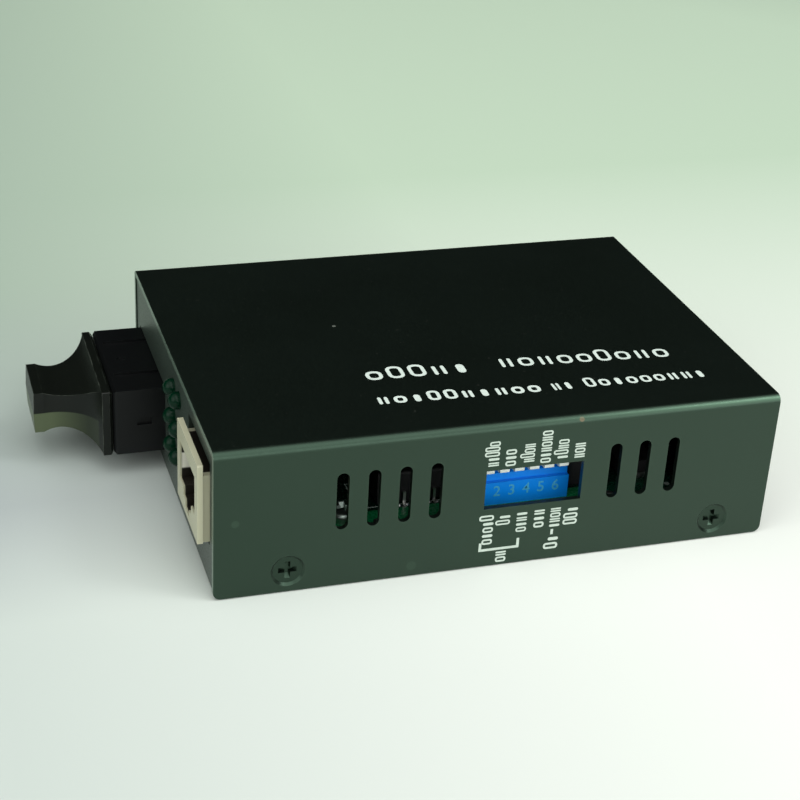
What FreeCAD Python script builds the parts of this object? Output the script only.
"""Fibre media converter: a small folded-steel box that turns copper Ethernet into
duplex fibre.  +X runs along the case from the port end to the power end, the side
with the mode switches faces -Y, and +Z is up.  The origin is the middle of the
base's underside.  All sizes are in millimetres."""

import FreeCAD, Part

import math
import os

from FreeCAD import Vector

X, Y, Z = Vector(1, 0, 0), Vector(0, 1, 0), Vector(0, 0, 1)

# ------------------------------------------------------------ sheet-metal case
case_length = 94.0
case_width = 70.0
sheet = 1.0                    # both the cover and the base
outer_bend = 1.3               # outside radius of every fold
skirt_gap = 0.2                # cover sides end this far above the table
flap_corner = 1.2              # rounded lower corners of the cover sides
lid_fit = 0.1                  # gap between the base's panels and the cover
panel_recess = 0.2             # end panels sit this far inside the cover
flange_height = 7.4            # the base's side flanges, which take the screws
corner_relief = 1.2            # notch between a flange and an end panel
headroom = 2.9                 # from the network jack's top to the cover

# ------------------------------------------------------------ cover openings
vent_width = 2.0
vent_length = 10.0
vent_pitch = 5.05
vent_rise = 2.1                # vents start this far above the board
front_vents = 4
rear_vents = 3
front_vent_inset = 20.2        # first slot's middle from the cover's front edge
rear_vent_gap = 5.5            # from the window's end to the first rear slot's middle
window_length = 16.5
window_height = 7.0
window_rise = 2.6              # window starts this far above the board

# ------------------------------------------------------------ fasteners
screw_radius = 1.5             # M3 throughout
screw_fit = 0.02               # thread flanks, as plain cylinders
countersink_radius = 2.75      # at the cover's face
cover_head_radius = 2.35
cover_screw_reach = 3.4        # shank past the cover
cover_screw_height = 3.9
front_screw_inset = 11.8       # from the cover's front edge
rear_screw_inset = 9.3         # from the cover's rear edge
recess_arm = 1.5               # cross recess, half span at the head's face
recess_width = 0.9
recess_depth = 0.7
recess_root = 0.6              # share of the span and width left at its bottom
pan_head_radius = 2.75
pan_head_height = 1.7
board_screw_reach = 4.2        # shank below the board's top
standoff_height = 5.7
standoff_radius = 2.6
standoff_shank_radius = 2.1    # pressed through the base
standoff_floor = 1.0           # closed end of the threaded hole

# ------------------------------------------------------------ circuit board
board_thickness = 1.6
board_end_gap = 0.8            # to the end panels
board_side_gap = 1.0           # to the side flanges
hole_inset = 4.0               # fixing holes, from the board's long edges
lead_drop = 1.0                # soldered leads stand below the board
lead_fit = 0.1                 # lead in its hole

# ------------------------------------------------------------ network jack
jack_length = 18.0
jack_width = 16.0
jack_height = 13.8
jack_proud = 1.9               # in front of the panel
jack_edge_gap = 0.7            # from the board's edge
jack_hole_gap = 0.3            # cut-out round the jack
port_width = 11.8
port_height = 6.8
port_sill = 4.0                # port floor above the board
port_depth = 14.0
latch_width = 6.2
latch_drop = 1.6
tongue_width = 3.4
tongue_drop = 3.0
collar_length = 0.9            # full-size rim at the jack's face
collar_step = 0.4              # body inside the rim, at each side
collar_drop = 2.0              # body below the rim, at the top
collar_edge = 0.3              # rounding of the rim's upper corners
contact_count = 8
contact_pitch = 1.02
contact_width = 0.45
contact_thickness = 0.35
contact_tip_inset = 4.0        # free ends, behind the jack's face
contact_tip_drop = 2.2         # free ends, below the port's roof
contact_tail_inset = 2.2       # tails, ahead of the jack's back
contact_row_pitch = 2.2        # the tails stand in two rows

# ------------------------------------------------------------ fibre transceiver
nose_width = 24.4
nose_height = 12.1
nose_proud = 8.8               # in front of the panel
nose_length = 14.4
nose_height_middle = 1.9       # middle of the ports above the board
nose_hole_gap = 0.3
nose_edge_gap = 1.2            # from the board's far edge
fibre_pitch = 12.7
fibre_port_width = 9.0
fibre_port_height = 7.4
fibre_port_depth = 11.0
keyway_width = 2.6
keyway_depth = 0.7
mouth_edge = 0.45              # chamfer round the ports' face
groove_width = 2.2             # shallow key groove above each port
groove_depth = 0.45
groove_inset = 1.2             # grooves start this far behind the face
catch_inset = 4.0              # small catch pocket in each side
catch_length = 2.6
catch_height = 1.4
catch_depth = 0.5
mark_radius = 0.8              # round ejector mark on top
mark_inset = 3.2
mark_depth = 0.2
transceiver_length = 38.6
transceiver_height = 9.4       # body above the board
transceiver_foot = 0.3         # body stands off the board on small feet
foot_radius = 1.0
sleeve_outer = 1.65
sleeve_bore = 1.25
sleeve_length = 7.6
sleeve_hole_depth = 6.6
post_radius = 0.9
post_inset = 6.0               # solder posts behind the body's front
pin_count = 9
pin_pitch = 2.54
pin_size = 0.5
pin_inset = 2.2                # pin row, ahead of the body's back

# ------------------------------------------------------------ dust plug
plug_gap = 0.15                # flange to the transceiver's face
plug_flange = 1.7
plug_edge = 0.2                # rounding of the flange's long edges
plug_back_edge = 0.45          # chamfer round the flange's back
plug_draft = 0.25              # the grip narrows by this from its parting line up and down
finger_gap = 0.15              # finger to port wall, each side
finger_length = 9.6
finger_wall = 1.1
grip_length = 10.9             # flange to tip
tip_length = 1.7               # plain bar at the tip
tip_width = 11.8
tip_height = 7.5
waist_width = 11.6
waist_height = 6.1
width_waist_from_tip = 2.95    # the plan is narrowest here
height_waist_from_tip = 4.9    # the side view is narrowest here

# ------------------------------------------------------------ status lights
light_radius = 1.5
light_proud = 1.9              # dome in front of the panel
light_flange_radius = 1.9
light_flange = 0.7
light_hole_gap = 0.05
light_columns = 2
light_rows = 3
light_column_pitch = 4.8
light_row_pitch = 5.3
light_top_gap = 1.5            # top row below the jack's top
light_lead_size = 0.5
light_lead_pitch = 2.54
light_lead_step = 1.3          # each row's leads turn down this much further back
light_lead_run = 1.2

# ------------------------------------------------------------ mode switches
switch_count = 6
switch_pitch = 2.54
switch_end_wall = 2.25         # body past the outer lever's middle
switch_depth = 9.6
switch_height = 9.4
switch_inset = 5.2             # face behind the case's outer side
switch_middle = 4.5            # along X, from the middle of the case
switch_window_shift = 0.33     # window middle from the switches' middle
band_rise = 4.1                # the stepped-back upper band starts here
band_step = 0.8
lever_width = 1.6
lever_gap = 0.1
lever_thickness = 1.0
lever_tip_round = 0.4
lever_proud = 3.5              # in front of the band
lever_swing = 16.0             # degrees from off to on
lever_pivot_height = 6.7       # above the board
lever_pivot_inset = 5.6        # behind the switch's face
hub_radius = 1.2
hub_fit = 0.05
sweep_gap = 0.15
terminal_width = 0.5
terminal_thickness = 0.25
terminal_span = 7.62           # between the two rows

# ------------------------------------------------------------ board parts
magnetics_length = 12.7
magnetics_width = 7.1
magnetics_height = 5.7
magnetics_gap = 1.5            # from the switches' end
magnetics_inset = 6.0          # from the board's near edge
magnetics_leads = 8            # each side
magnetics_lead_pitch = 1.27
magnetics_lead_width = 0.45
magnetics_lead_height = 2.2    # where the leads leave the body
magnetics_lead_run = 0.5
magnetics_lead_foot = 0.7
magnetics_edge = 0.5
chip_size = 14.0
chip_height = 1.4
chip_leads = 14                # each side
chip_lead_pitch = 0.8
chip_lead_width = 0.35
chip_lead_run = 0.4
chip_lead_foot = 0.5
chip_corner = 0.9
chip_middle = 2.5              # along X
chip_from_far_edge = 17.5
crystal_length = 11.0
crystal_width = 4.6
crystal_height = 3.4
crystal_flange = 0.5
crystal_gap = 4.6              # its middle from the chip's side
inductor_size = 7.3
inductor_height = 5.2
inductor_corner = 1.2
inductor_gap = 1.0             # from the switches' end
inductor_inset = 5.4           # from the board's near edge
can_radius = 3.15
can_height = 7.7
can_base = 0.8
can_inset = 0.15               # can inside its square base
can_edge = 0.4
can_pitch = 8.5
can_gap = 1.5                  # from the power jack's side
regulator_length = 6.5
regulator_width = 6.1
regulator_height = 2.3
regulator_tab = 0.5
regulator_tab_reach = 1.2      # tab past the body
regulator_tab_inset = 0.5
regulator_lead_pitch = 2.28
regulator_lead_width = 0.8
regulator_lead_run = 1.0
regulator_lead_foot = 0.9
regulator_gap = 6.0            # from the inductor to its middle
lead_thickness = 0.2
small_part_count = 4           # in each row of small parts
small_part_length = 1.6
small_part_width = 0.8
small_part_height = 0.5
small_part_pitch = 1.9

# ------------------------------------------------------------ power jack
power_length = 14.0
power_width = 9.0
power_height = 11.0
power_axis_height = 6.5        # above the board
power_corner = 1.0
power_bore = 3.2
power_bore_depth = 9.5
power_pin_radius = 1.0
power_pin_root = 0.8           # radius where it is held in the body
power_pin_setback = 0.7        # pin's tip behind the jack's face
power_hole_radius = 4.0        # in the rear panel
power_edge_gap = 9.0           # from the board's far edge
power_tab_width = 2.0
power_tab_thickness = 0.5

# ------------------------------------------------------------ levels and faces
board_bottom = sheet + standoff_height
board_top = board_bottom + board_thickness
jack_top = board_top + jack_height
case_height = jack_top + headroom + sheet
panel_top = case_height - sheet - lid_fit
cover_front, cover_rear = -case_length / 2, case_length / 2
panel_front, panel_rear = cover_front + panel_recess, cover_rear - panel_recess
inner_front, inner_rear = panel_front + sheet, panel_rear - sheet
case_half = case_width / 2
cover_inside = case_half - sheet
head_sink = countersink_radius - cover_head_radius
flange_outside = cover_inside - lid_fit
flange_inside = flange_outside - sheet
inner_bend = outer_bend - sheet
board_front, board_rear = inner_front + board_end_gap, inner_rear - board_end_gap
board_half = flange_inside - board_side_gap
lead_bottom = board_bottom - lead_drop

jack_front = panel_front - jack_proud
jack_rear = jack_front + jack_length
jack_near = -board_half + jack_edge_gap
jack_far = jack_near + jack_width
jack_middle = (jack_near + jack_far) / 2
port_floor = board_top + port_sill

nose_front = panel_front - nose_proud
nose_rear = nose_front + nose_length
nose_far = board_half - nose_edge_gap
nose_near = nose_far - nose_width
nose_middle = (nose_far + nose_near) / 2
nose_axis = board_top + nose_height_middle
body_rear = nose_front + transceiver_length
fibre_ports = [nose_middle - fibre_pitch / 2, nose_middle + fibre_pitch / 2]

plug_back = nose_front - plug_gap
plug_front = plug_back - plug_flange
plug_tip = plug_front - grip_length

lights_middle = (jack_far + nose_near) / 2

switch_half = switch_pitch * (switch_count - 1) / 2 + switch_end_wall
switch_face = -case_half + switch_inset
switch_back = switch_face + switch_depth
band_face = switch_face + band_step
pivot_y = switch_face + lever_pivot_inset
pivot_z = board_top + lever_pivot_height
lever_reach = pivot_y - band_face + lever_proud
lever_places = [switch_middle + switch_pitch * (i - (switch_count - 1) / 2) for i in range(switch_count)]
window_middle = switch_middle + switch_window_shift

power_far = board_half - power_edge_gap
power_middle = power_far - power_width / 2
power_axis = board_top + power_axis_height
power_back = inner_rear - power_length
power_bore_end = inner_rear - power_bore_depth


# ------------------------------------------------------------ shapes in common
def block(x0, x1, y0, y1, z0, z1):
    """A box between two corners."""
    return Part.makeBox(x1 - x0, y1 - y0, z1 - z0, Vector(x0, y0, z0))


def rod(radius, start, end):
    """A round bar from one point to another."""
    run = end.sub(start)
    return Part.makeCylinder(radius, run.Length, start, run)


def prism(outline, run):
    """A flat outline of points, pushed along run."""
    return Part.Face(Part.makePolygon(outline + outline[:1])).extrude(run)


def join(shapes):
    """One solid out of several that meet."""
    whole = shapes[0].multiFuse(shapes[1:]) if len(shapes) > 1 else shapes[0]
    return whole.removeSplitter()


def straight_edges(shape, along, where):
    """Edges parallel to one axis whose middle passes the test."""
    found = []
    for edge in shape.Edges:
        run = edge.Vertexes[-1].Point.sub(edge.Vertexes[0].Point)
        if run.Length > 0 and abs(run.normalize().dot(along)) > 0.999 and where(edge.CenterOfMass):
            found.append(edge)
    return found


def rounded(shape, radius, along, where):
    """The shape with the chosen straight edges rounded."""
    return shape.makeFillet(radius, straight_edges(shape, along, where))


def near(a, b):
    return abs(a - b) < 0.01


def cross_recess(centre, outward):
    """The cutter for a cross recess in a screw head: two crossing arms that narrow with depth."""
    side = Z.cross(outward) if abs(outward.dot(Z)) < 0.5 else X
    other = outward.cross(side)
    arms = []
    for along, across in ((side, other), (other, side)):
        def outline(share, depth):
            return [centre - outward * depth + along * (recess_arm * share * i)
                    + across * (recess_width / 2 * share * j)
                    for i, j in ((-1, -1), (1, -1), (1, 1), (-1, 1))]
        mouth = outline(1, 0)
        root = outline(recess_root, recess_depth)
        rings = [Part.makePolygon(ring + ring[:1]) for ring in (mouth, root)]
        arms.append(Part.makeLoft(rings, True, True))
        arms.append(prism(mouth, outward))
    return join(arms)


# ------------------------------------------------------------ case
def vent_places():
    rear_row = window_middle + window_length / 2 + rear_vent_gap
    places = [cover_front + front_vent_inset + vent_pitch * i for i in range(front_vents)]
    return places + [rear_row + vent_pitch * i for i in range(rear_vents)]


def vent_cutter(x, y0, y1):
    low = board_top + vent_rise + vent_width / 2
    high = board_top + vent_rise + vent_length - vent_width / 2
    ends = [rod(vent_width / 2, Vector(x, y0, z), Vector(x, y1, z)) for z in (low, high)]
    return join([block(x - vent_width / 2, x + vent_width / 2, y0, y1, low, high)] + ends)


def screw_places():
    """Each cover screw's X and its side of the case, -1 or 1 along Y."""
    stations = (cover_front + front_screw_inset, cover_rear - rear_screw_inset)
    return [(x, side) for side in (-1, 1) for x in stations]


def make_top_cover():
    outside = block(cover_front, cover_rear, -case_half, case_half, skirt_gap, case_height)
    outside = rounded(outside, outer_bend, X, lambda p: near(p.z, case_height))
    inside = block(cover_front - 1, cover_rear + 1, -cover_inside, cover_inside,
                   -1, case_height - sheet)
    inside = rounded(inside, inner_bend, X, lambda p: near(p.z, case_height - sheet))
    cover = outside.cut(inside)
    cover = rounded(cover, flap_corner, Y, lambda p: near(p.z, skirt_gap))
    cutters = []
    for side in (-1, 1):
        y0, y1 = sorted((side * (case_half + 1), side * (cover_inside - 1)))
        cutters += [vent_cutter(x, y0, y1) for x in vent_places()]
    for x, side in screw_places():
        face = Vector(x, side * case_half, cover_screw_height)
        cutters.append(Part.makeCone(countersink_radius, countersink_radius - sheet, sheet,
                                     face, Y * -side))
    window_low = board_top + window_rise
    cutters.append(block(window_middle - window_length / 2, window_middle + window_length / 2,
                         -case_half - 1, -cover_inside + 1, window_low, window_low + window_height))
    return cover.cut(cutters)


def make_base_tray():
    """Floor with both end panels folded up, and low side flanges folded up between notches."""
    panels = block(panel_front, panel_rear, -flange_outside, flange_outside, 0, panel_top)
    panels = rounded(panels, outer_bend, Y, lambda p: near(p.z, 0))
    above = block(inner_front, inner_rear, -case_half, case_half, sheet, case_height)
    panels = panels.cut(rounded(above, inner_bend, Y, lambda p: near(p.z, sheet)))
    notch = inner_front + corner_relief
    edge = flange_inside - inner_bend
    panels = panels.cut([block(inner_front, inner_rear, -case_half, -edge, -1, flange_height),
                         block(inner_front, inner_rear, edge, case_half, -1, flange_height)])
    trough = block(notch, -notch, -flange_outside, flange_outside, 0, flange_height)
    trough = rounded(trough, outer_bend, X, lambda p: near(p.z, 0))
    inside = block(notch - 1, 1 - notch, -flange_inside, flange_inside, sheet, case_height)
    trough = trough.cut(rounded(inside, inner_bend, X, lambda p: near(p.z, sheet)))
    tray = join([panels, trough])
    cutters = [rod(standoff_shank_radius, Vector(x, y, -1), Vector(x, y, sheet + 1))
               for x, y in board_fixings()]
    for x, side in screw_places():
        cutters.append(rod(screw_radius + screw_fit, Vector(x, side * case_half, cover_screw_height),
                           Vector(x, side * (flange_inside - 1), cover_screw_height)))
    cutters.append(block(panel_front - 1, inner_front + 1, jack_near - jack_hole_gap,
                         jack_far + jack_hole_gap, board_top - jack_hole_gap, jack_top + jack_hole_gap))
    cutters.append(block(panel_front - 1, inner_front + 1, nose_near - nose_hole_gap,
                         nose_far + nose_hole_gap, nose_axis - nose_height / 2 - nose_hole_gap,
                         nose_axis + nose_height / 2 + nose_hole_gap))
    for y, z, _ in light_places():
        cutters.append(rod(light_radius + light_hole_gap, Vector(panel_front - 1, y, z),
                           Vector(inner_front + 1, y, z)))
    cutters.append(rod(power_hole_radius, Vector(inner_rear - 1, power_middle, power_axis),
                       Vector(panel_rear + 1, power_middle, power_axis)))
    return tray.cut(cutters)


def make_cover_screws():
    screws = []
    for x, side in screw_places():
        inward = Y * -side
        face = Vector(x, side * (case_half - head_sink), cover_screw_height)
        taper = sheet - head_sink
        head = Part.makeCone(cover_head_radius, cover_head_radius - taper, taper, face, inward)
        shank = rod(screw_radius, face + inward * taper, face + inward * (taper + cover_screw_reach))
        screws.append(join([head, shank]).cut(cross_recess(face, Y * side)))
    return screws


# ------------------------------------------------------------ board and its fixings
def board_fixings():
    """Middles of the board's four fixing holes."""
    edge = board_half - hole_inset
    behind_jack = (jack_rear + magnetics_x - magnetics_length / 2) / 2
    return [(behind_jack, -edge), (body_rear + hole_inset, edge),
            (board_rear - hole_inset, -edge), (board_rear - hole_inset, edge)]


def make_board_standoffs():
    standoffs = []
    for x, y in board_fixings():
        body = rod(standoff_radius, Vector(x, y, sheet), Vector(x, y, board_bottom))
        shank = rod(standoff_shank_radius, Vector(x, y, 0), Vector(x, y, sheet))
        hole = rod(screw_radius + screw_fit, Vector(x, y, standoff_floor), Vector(x, y, board_bottom + 1))
        standoffs.append(join([body, shank]).cut(hole))
    return standoffs


def make_board_screws():
    screws = []
    for x, y in board_fixings():
        top = board_top + pan_head_height
        head = rod(pan_head_radius, Vector(x, y, board_top), Vector(x, y, top))
        head = head.makeFillet(pan_head_height * 0.5, [e for e in head.Edges if near(e.CenterOfMass.z, top)])
        shank = rod(screw_radius, Vector(x, y, board_top - board_screw_reach), Vector(x, y, board_top))
        screws.append(join([head, shank]).cut(cross_recess(Vector(x, y, top), Z)))
    return screws


def lead_hole(x, y, width_x, width_y):
    """The board's cutter for one rectangular lead."""
    half_x, half_y = width_x / 2 + lead_fit, width_y / 2 + lead_fit
    return block(x - half_x, x + half_x, y - half_y, y + half_y, board_bottom - 1, board_top + 1)


def make_main_board():
    board = block(board_front, board_rear, -board_half, board_half, board_bottom, board_top)
    cutters = [rod(screw_radius + lead_fit, Vector(x, y, board_bottom - 1), Vector(x, y, board_top + 1))
               for x, y in board_fixings()]
    cutters.append(block(board_front - 1, nose_rear + nose_hole_gap, nose_near - nose_hole_gap,
                         board_half + 1, board_bottom - 1, board_top + 1))
    cutters += [lead_hole(x, y, contact_thickness, contact_width) for x, y in contact_tails()]
    cutters += [lead_hole(x, y, pin_size, pin_size) for x, y in transceiver_pin_places()]
    cutters += [rod(post_radius + lead_fit, Vector(x, y, board_bottom - 1), Vector(x, y, board_top + 1))
                for x, y in transceiver_post_places()]
    cutters += [lead_hole(x, y, light_lead_size, light_lead_size) for x, y, _ in light_lead_places()]
    cutters += [lead_hole(x, y, terminal_width, terminal_thickness) for x, y in terminal_places()]
    cutters += [lead_hole(x, y, wide_x, wide_y) for x, y, wide_x, wide_y in power_tab_places()]
    return board.cut(cutters)


# ------------------------------------------------------------ network jack
def contact_rows():
    """Each contact's Y and the X of its tail."""
    rows = []
    for i in range(contact_count):
        y = jack_middle + contact_pitch * (i - (contact_count - 1) / 2)
        rows.append((y, jack_rear - contact_tail_inset - contact_row_pitch * (i % 2)))
    return rows


def contact_tails():
    return [(x, y) for y, x in contact_rows()]


def make_jack_contacts():
    """Sprung wires that hang from the port's roof and slope back to their tails."""
    contacts = []
    half = contact_width / 2
    thick = contact_thickness
    roof = port_floor + port_height + thick
    tip_x = jack_front + contact_tip_inset
    for y, tail_x in contact_rows():
        bend_x = jack_front + port_depth - 1
        tip_z = port_floor + port_height - contact_tip_drop
        sloped = [Vector(tip_x, y - half, tip_z), Vector(bend_x, y - half, roof - thick),
                  Vector(bend_x, y - half, roof), Vector(tip_x, y - half, tip_z + thick)]
        top = block(bend_x - thick, tail_x + thick / 2, y - half, y + half, roof - thick, roof)
        tail = block(tail_x - thick / 2, tail_x + thick / 2, y - half, y + half, lead_bottom, roof)
        contacts.append(join([prism(sloped, Y * contact_width), top, tail]))
    return contacts


def make_network_jack(contacts):
    collar = block(jack_front, jack_front + collar_length, jack_near, jack_far, board_top, jack_top)
    collar = rounded(collar, collar_edge, X, lambda p: near(p.z, jack_top))
    body = block(jack_front + collar_length, jack_rear, jack_near + collar_step, jack_far - collar_step,
                 board_top, jack_top - collar_drop)
    jack = join([collar, body])
    port_top = port_floor + port_height
    cutters = [
        block(jack_front - 1, jack_front + port_depth, jack_middle - port_width / 2,
              jack_middle + port_width / 2, port_floor, port_top),
        block(jack_front - 1, jack_front + port_depth, jack_middle - latch_width / 2,
              jack_middle + latch_width / 2, port_floor - latch_drop, port_top),
        block(jack_front - 1, jack_front + port_depth, jack_middle - tongue_width / 2,
              jack_middle + tongue_width / 2, port_floor - tongue_drop, port_top),
    ]
    return jack.cut(cutters).cut(contacts)


# ------------------------------------------------------------ fibre transceiver
def transceiver_pin_places():
    x = body_rear - pin_inset
    return [(x, nose_middle + pin_pitch * (i - (pin_count - 1) / 2)) for i in range(pin_count)]


def transceiver_post_places():
    x = nose_rear + post_inset
    return [(x, nose_middle - fibre_pitch * 0.8), (x, nose_middle + fibre_pitch * 0.8)]


def make_transceiver_housing():
    low, high = nose_axis - nose_height / 2, nose_axis + nose_height / 2
    nose = block(nose_front, nose_rear, nose_near, nose_far, low, high)
    nose = nose.makeChamfer(mouth_edge, [e for e in nose.Edges if near(e.CenterOfMass.x, nose_front)])
    body = block(nose_rear, body_rear, nose_near, nose_far, board_top + transceiver_foot,
                 board_top + transceiver_height)
    feet = [rod(foot_radius, Vector(x, y, board_top), Vector(x, y, board_top + transceiver_foot))
            for x in (nose_rear + 2 * foot_radius, body_rear - 4 * foot_radius)
            for y in (nose_near + 2 * foot_radius, nose_far - 2 * foot_radius)]
    housing = join([nose, body] + feet)
    cutters = []
    for y in fibre_ports:
        half_w, half_h = fibre_port_width / 2, fibre_port_height / 2
        cutters.append(block(nose_front - 1, nose_front + fibre_port_depth, y - half_w, y + half_w,
                             nose_axis - half_h, nose_axis + half_h))
        cutters.append(block(nose_front - 1, nose_front + fibre_port_depth, y - keyway_width / 2,
                             y + keyway_width / 2, nose_axis, nose_axis + half_h + keyway_depth))
        cutters.append(block(nose_front + groove_inset, nose_rear, y - groove_width / 2,
                             y + groove_width / 2, high - groove_depth, high + 1))
    catch = nose_front + catch_inset
    for y0, y1 in ((nose_near - 1, nose_near + catch_depth), (nose_far - catch_depth, nose_far + 1)):
        cutters.append(block(catch, catch + catch_length, y0, y1, nose_axis - catch_height / 2,
                             nose_axis + catch_height / 2))
    mark = Vector(nose_front + mark_inset, nose_middle, high)
    cutters.append(rod(mark_radius, mark - Z * mark_depth, mark + Z))
    return housing.cut(cutters)


def make_ferrule_sleeves():
    sleeves = []
    back = nose_front + fibre_port_depth
    for y in fibre_ports:
        tube = rod(sleeve_outer, Vector(back - sleeve_length, y, nose_axis), Vector(back, y, nose_axis))
        mouth = Vector(back - sleeve_length, y, nose_axis)
        bore = rod(sleeve_bore, mouth, mouth + X * sleeve_hole_depth)
        sleeves.append(tube.cut(bore))
    return sleeves


def make_transceiver_pins():
    """Nine signal pins in a row and the two stout solder posts."""
    top = board_top + transceiver_foot
    half = pin_size / 2
    pins = [block(x - half, x + half, y - half, y + half, lead_bottom, top)
            for x, y in transceiver_pin_places()]
    pins += [rod(post_radius, Vector(x, y, lead_bottom), Vector(x, y, top))
             for x, y in transceiver_post_places()]
    return pins


# ------------------------------------------------------------ dust plug
def waisted_outline(root_half, waist_half, tip_half, waist_x, plane):
    """A closed outline that swoops from the flange in to a waist and out to a plain tip.
    plane turns a distance along X and one across it into a point."""
    bar_end = plug_tip + tip_length
    wires = []
    for side in (1, -1):
        arc = Part.Arc(plane(plug_front, side * root_half), plane(waist_x, side * waist_half),
                       plane(bar_end, side * tip_half))
        bar = Part.LineSegment(plane(bar_end, side * tip_half), plane(plug_tip, side * tip_half))
        wires += [arc.toShape(), bar.toShape()]
    wires.append(Part.LineSegment(plane(plug_tip, tip_half), plane(plug_tip, -tip_half)).toShape())
    wires.append(Part.LineSegment(plane(plug_front, root_half), plane(plug_front, -root_half)).toShape())
    return Part.Face(Part.Wire(Part.__sortEdges__(wires)))


def drafted_plan(z):
    """The grip's plan at a height: full size at the parting line, smaller above and below."""
    inset = plug_draft * abs(z - nose_axis) / (nose_height / 2)

    def plan_point(x, across):
        return Vector(x + inset * (x < plug_front), nose_middle + across, z)

    return waisted_outline(nose_width / 2 - plug_edge - inset, waist_width / 2 - inset,
                           tip_width / 2 - inset, plug_tip + width_waist_from_tip, plan_point)


def make_dust_plug():
    """Flange over both ports, a grip waisted in plan and in side view, and two hollow fingers."""
    half_w, half_h = nose_width / 2, nose_height / 2

    def side_point(x, across):
        return Vector(x, nose_middle - nose_width, nose_axis + across)

    profile = waisted_outline(half_h - plug_edge, waist_height / 2, tip_height / 2,
                              plug_tip + height_waist_from_tip, side_point)
    halves = [Part.makeLoft([drafted_plan(nose_axis).OuterWire, drafted_plan(end).OuterWire], True, True)
              for end in (nose_axis - half_h, nose_axis + half_h)]
    grip = join(halves).common(profile.extrude(Y * (2 * nose_width)))
    flange = block(plug_front, plug_back, nose_near, nose_far, nose_axis - half_h, nose_axis + half_h)
    back_rim = [e for e in flange.Edges if near(e.CenterOfMass.x, plug_back)]
    flange = rounded(flange.makeChamfer(plug_back_edge, back_rim), plug_edge, X, lambda p: True)
    finger_w = fibre_port_width / 2 - finger_gap
    finger_h = fibre_port_height / 2 - finger_gap
    parts = [grip, flange]
    for y in fibre_ports:
        finger = block(plug_back, plug_back + finger_length, y - finger_w, y + finger_w,
                       nose_axis - finger_h, nose_axis + finger_h)
        hollow = block(plug_back + finger_wall, plug_back + finger_length + 1,
                       y - finger_w + finger_wall, y + finger_w - finger_wall,
                       nose_axis - finger_h + finger_wall, nose_axis + finger_h - finger_wall)
        parts.append(finger.cut(hollow))
    return join(parts)


# ------------------------------------------------------------ status lights
def light_places():
    """Each light's Y, Z and row, row 0 being the top one."""
    places = []
    for column in range(light_columns):
        y = lights_middle + light_column_pitch * (column - (light_columns - 1) / 2)
        for row in range(light_rows):
            places.append((y, jack_top - light_top_gap - light_row_pitch * row, row))
    return places


def light_lead_places():
    """X, Y and top Z of every light's two leads; higher rows turn down further back."""
    places = []
    for y, z, row in light_places():
        x = inner_front + light_flange + light_lead_run + light_lead_step * (light_rows - 1 - row)
        places += [(x, y - light_lead_pitch / 2, z), (x, y + light_lead_pitch / 2, z)]
    return places


def make_status_light(y, z):
    """A 3 mm light: round body with a domed nose through the panel and a rim behind it."""
    nose = Vector(panel_front - light_proud + light_radius, y, z)
    body = rod(light_radius, nose, Vector(inner_front, y, z))
    rim = rod(light_flange_radius, Vector(inner_front, y, z), Vector(inner_front + light_flange, y, z))
    return join([Part.makeSphere(light_radius, nose), body, rim])


def make_status_light_leads():
    leads = []
    half = light_lead_size / 2
    for x, y, z in light_lead_places():
        run = block(inner_front + light_flange, x + half, y - half, y + half, z - half, z + half)
        drop = block(x - half, x + half, y - half, y + half, lead_bottom, z + half)
        leads.append(join([run, drop]))
    return leads


# ------------------------------------------------------------ mode switches
def terminal_places():
    middle = (switch_face + switch_back) / 2
    return [(x, middle + side * terminal_span / 2) for side in (-1, 1) for x in lever_places]


def lever_direction(angle):
    """Unit vector from the pivot along a lever that points out of the case at an angle."""
    turn = math.radians(angle)
    return Vector(0, -math.cos(turn), math.sin(turn))


def lever_bar(x, angle, reach, half_thickness, half_width):
    """A flat bar from the pivot outwards, tilted by angle."""
    run = lever_direction(angle)
    up = X.cross(run) * -1
    pivot = Vector(x - half_width, pivot_y, pivot_z)
    outline = [pivot - up * half_thickness, pivot + run * reach - up * half_thickness,
               pivot + run * reach + up * half_thickness, pivot + up * half_thickness]
    return prism(outline, X * (2 * half_width))


def hub(x, radius, half_width):
    return rod(radius, Vector(x - half_width, pivot_y, pivot_z), Vector(x + half_width, pivot_y, pivot_z))


def make_switch_lever(x):
    """One rocker, at rest in its upper place: a round hub with a flat key."""
    half = lever_width / 2
    bar = lever_bar(x, lever_swing / 2, lever_reach, lever_thickness / 2, half)
    bar = rounded(bar, lever_tip_round, X, lambda place: place.y < switch_face)
    return join([hub(x, hub_radius, half), bar])


def make_switch_body():
    body = block(switch_middle - switch_half, switch_middle + switch_half, switch_face, switch_back,
                 board_top, board_top + switch_height)
    cutters = [block(switch_middle - switch_half - 1, switch_middle + switch_half + 1, switch_face - 1,
                     band_face, board_top + band_rise, board_top + switch_height + 1)]
    half = lever_width / 2 + lever_gap
    reach = lever_reach + lever_proud
    for x in lever_places:
        cutters.append(hub(x, hub_radius + hub_fit, half))
        swept = []
        for angle in (-lever_swing / 2, lever_swing / 2):
            swept.append(lever_bar(x, angle, reach, lever_thickness / 2 + sweep_gap, half))
        upper, lower = lever_direction(lever_swing / 2), lever_direction(-lever_swing / 2)
        pivot = Vector(x - half, pivot_y, pivot_z)
        swept.append(prism([pivot, pivot + upper * reach, pivot + lower * reach], X * (2 * half)))
        cutters.append(join(swept))
    return body.cut(cutters)


def make_switch_terminals():
    half_x, half_y = terminal_width / 2, terminal_thickness / 2
    return [block(x - half_x, x + half_x, y - half_y, y + half_y, lead_bottom, board_top)
            for x, y in terminal_places()]


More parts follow.
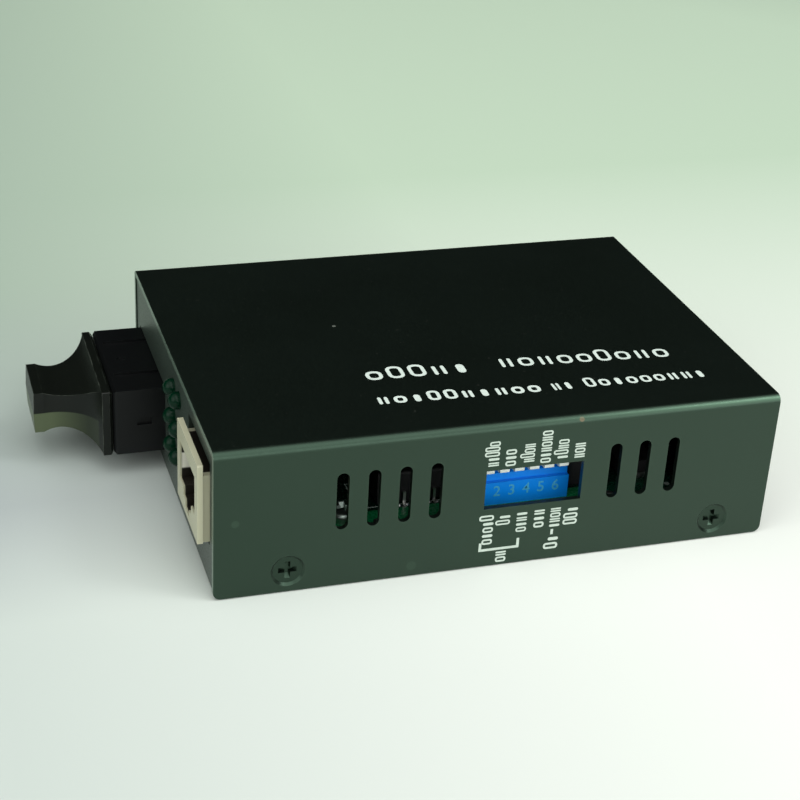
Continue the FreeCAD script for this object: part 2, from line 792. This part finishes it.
# ------------------------------------------------------------ parts on the board
magnetics_x = switch_middle - switch_half - magnetics_gap - magnetics_length / 2
magnetics_y = -board_half + magnetics_inset + magnetics_width / 2
chip_y = board_half - chip_from_far_edge
crystal_y = chip_y - chip_size / 2 - crystal_gap


def gull_lead(root, out, rise, foot, width):
    """A flat lead that leaves a body at root, steps down to the board and ends in a foot."""
    across = Z.cross(out) * (width / 2)
    drop = root.z - board_top
    thick = lead_thickness
    outline = [(0, drop), (rise, drop), (rise, thick), (rise + foot, thick), (rise + foot, 0),
               (rise - thick, 0), (rise - thick, drop - thick), (0, drop - thick)]
    start = Vector(root.x, root.y, board_top) - across
    return prism([start + out * a + Z * b for a, b in outline], across * 2)


def make_isolation_transformer():
    body = block(magnetics_x - magnetics_length / 2, magnetics_x + magnetics_length / 2,
                 magnetics_y - magnetics_width / 2, magnetics_y + magnetics_width / 2,
                 board_top + lead_thickness, board_top + magnetics_height)
    return rounded(body, magnetics_edge, X, lambda p: near(p.z, board_top + magnetics_height))


def make_transformer_leads():
    leads = []
    for side in (-1, 1):
        for i in range(magnetics_leads):
            x = magnetics_x + magnetics_lead_pitch * (i - (magnetics_leads - 1) / 2)
            root = Vector(x, magnetics_y + side * magnetics_width / 2, board_top + magnetics_lead_height)
            leads.append(gull_lead(root, Y * side, magnetics_lead_run, magnetics_lead_foot,
                                   magnetics_lead_width))
    return leads


def make_converter_chip():
    half = chip_size / 2
    body = block(chip_middle - half, chip_middle + half, chip_y - half, chip_y + half,
                 board_top + lead_thickness, board_top + lead_thickness + chip_height)
    return rounded(body, chip_corner, Z, lambda p: True)


def make_converter_chip_leads():
    leads = []
    root_z = board_top + lead_thickness + chip_height / 2
    for out in (X, Y, X * -1, Y * -1):
        along = Z.cross(out)
        for i in range(chip_leads):
            shift = along * (chip_lead_pitch * (i - (chip_leads - 1) / 2))
            root = Vector(chip_middle, chip_y, root_z) + out * (chip_size / 2) + shift
            leads.append(gull_lead(root, out, chip_lead_run, chip_lead_foot, chip_lead_width))
    return leads


def stadium(x, y, length, width, z0, z1):
    """An upright block with round ends along X."""
    run = length / 2 - width / 2
    ends = [rod(width / 2, Vector(x + s * run, y, z0), Vector(x + s * run, y, z1)) for s in (-1, 1)]
    return join([block(x - run, x + run, y - width / 2, y + width / 2, z0, z1)] + ends)


def make_crystal():
    shoulder = board_top + crystal_flange
    flange = stadium(chip_middle, crystal_y, crystal_length, crystal_width, board_top, shoulder)
    can = stadium(chip_middle, crystal_y, crystal_length - crystal_flange * 2,
                  crystal_width - crystal_flange * 2, shoulder, board_top + crystal_height)
    return join([flange, can])


def make_power_inductor():
    x = switch_middle + switch_half + inductor_gap
    y = -board_half + inductor_inset
    body = block(x, x + inductor_size, y, y + inductor_size, board_top, board_top + inductor_height)
    return rounded(body, inductor_corner, Z, lambda p: True)


def make_filter_capacitor(x, y):
    """A surface-mount can on its square base."""
    base = block(x - can_radius, x + can_radius, y - can_radius, y + can_radius,
                 board_top, board_top + can_base)
    can = rod(can_radius - can_inset, Vector(x, y, board_top + can_base), Vector(x, y, board_top + can_height))
    rim = [e for e in can.Edges if near(e.CenterOfMass.z, board_top + can_height)]
    return join([base, can.makeFillet(can_edge, rim)])


regulator_x = switch_middle + switch_half + inductor_gap + inductor_size + regulator_gap
regulator_y = -board_half + inductor_inset + inductor_size / 2


def make_voltage_regulator():
    return block(regulator_x - regulator_length / 2, regulator_x + regulator_length / 2,
                 regulator_y - regulator_width / 2, regulator_y + regulator_width / 2,
                 board_top + regulator_tab, board_top + regulator_tab + regulator_height)


def make_regulator_leads():
    """The heat tab under the body and the two leads at its other end."""
    half = regulator_length / 2 - regulator_tab_inset
    tab = block(regulator_x - half, regulator_x + half, regulator_y - regulator_width / 2,
                regulator_y + regulator_width / 2 + regulator_tab_reach, board_top,
                board_top + regulator_tab)
    leads = [tab]
    for side in (-1, 1):
        root = Vector(regulator_x + side * regulator_lead_pitch, regulator_y - regulator_width / 2,
                      board_top + regulator_tab + regulator_height / 2)
        leads.append(gull_lead(root, Y * -1, regulator_lead_run, regulator_lead_foot,
                               regulator_lead_width))
    return leads


def make_small_parts(x, y):
    """A row of chip parts, each lying across the row."""
    return [block(x + i * small_part_pitch - small_part_width / 2,
                  x + i * small_part_pitch + small_part_width / 2,
                  y - small_part_length / 2, y + small_part_length / 2,
                  board_top, board_top + small_part_height) for i in range(small_part_count)]


# ------------------------------------------------------------ power jack
def power_tab_places():
    """X, Y and the two widths of the jack's solder tabs."""
    return [(power_back + power_tab_thickness / 2, power_middle, power_tab_thickness, power_tab_width),
            (power_back + power_length / 2, power_middle, power_tab_width, power_tab_thickness)]


def make_power_jack():
    body = block(power_back, inner_rear, power_middle - power_width / 2, power_middle + power_width / 2,
                 board_top, board_top + power_height)
    body = rounded(body, power_corner, X, lambda p: near(p.z, board_top + power_height))
    bore = rod(power_bore, Vector(power_bore_end, power_middle, power_axis),
               Vector(inner_rear + 1, power_middle, power_axis))
    pin_seat = rod(power_pin_root, Vector(power_back - 1, power_middle, power_axis),
                   Vector(power_bore_end + 1, power_middle, power_axis))
    return body.cut([bore, pin_seat] + make_power_jack_tabs())


def make_power_jack_pin():
    shoulder = Vector(power_bore_end, power_middle, power_axis)
    root = rod(power_pin_root, Vector(power_back + power_tab_thickness, power_middle, power_axis), shoulder)
    pin = rod(power_pin_radius, shoulder, Vector(inner_rear - power_pin_setback, power_middle, power_axis))
    return join([root, pin])


def make_power_jack_tabs():
    """The pin's tab up the back of the jack and the sleeve spring's tab under it."""
    tabs = []
    heights = (power_axis + power_pin_radius, power_axis - power_bore)
    for (x, y, wide_x, wide_y), top in zip(power_tab_places(), heights):
        tabs.append(block(x - wide_x / 2, x + wide_x / 2, y - wide_y / 2, y + wide_y / 2, lead_bottom, top))
    return tabs


# ------------------------------------------------------------ everything, one file per piece
def make_all():
    contacts = make_jack_contacts()
    pieces = {
        "top_cover": make_top_cover(),
        "base_tray": make_base_tray(),
        "cover_screws": make_cover_screws(),
        "board_standoffs": make_board_standoffs(),
        "board_screws": make_board_screws(),
        "main_board": make_main_board(),
        "network_jack": make_network_jack(contacts),
        "jack_contacts": contacts,
        "transceiver_housing": make_transceiver_housing(),
        "ferrule_sleeves": make_ferrule_sleeves(),
        "transceiver_pins": make_transceiver_pins(),
        "dust_plug": make_dust_plug(),
        "status_light_leads": make_status_light_leads(),
        "switch_body": make_switch_body(),
        "switch_terminals": make_switch_terminals(),
        "isolation_transformer": make_isolation_transformer(),
        "transformer_leads": make_transformer_leads(),
        "converter_chip": make_converter_chip(),
        "converter_chip_leads": make_converter_chip_leads(),
        "crystal": make_crystal(),
        "power_inductor": make_power_inductor(),
        "voltage_regulator": make_voltage_regulator(),
        "regulator_leads": make_regulator_leads(),
        "power_jack": make_power_jack(),
        "power_jack_pin": make_power_jack_pin(),
        "power_jack_tabs": make_power_jack_tabs(),
    }
    for number, (y, z, _) in enumerate(light_places(), 1):
        pieces[f"status_light_{number}"] = make_status_light(y, z)
    for number, x in enumerate(lever_places, 1):
        pieces[f"switch_lever_{number}"] = make_switch_lever(x)
    can_x = power_back + can_radius
    for number in range(2):
        y = power_middle - power_width / 2 - can_gap - can_radius - can_pitch * number
        pieces[f"filter_capacitor_{number + 1}"] = make_filter_capacitor(can_x, y)
    pieces["chip_resistors"] = make_small_parts(magnetics_x - magnetics_length / 2,
                                                magnetics_y + magnetics_width)
    pieces["chip_capacitors"] = make_small_parts(chip_middle, crystal_y - crystal_width)
    return pieces


os.makedirs("parts", exist_ok=True)
for node, made in make_all().items():
    shape = Part.makeCompound(made) if isinstance(made, list) else made
    shape.exportStep(f"parts/{node}.step")
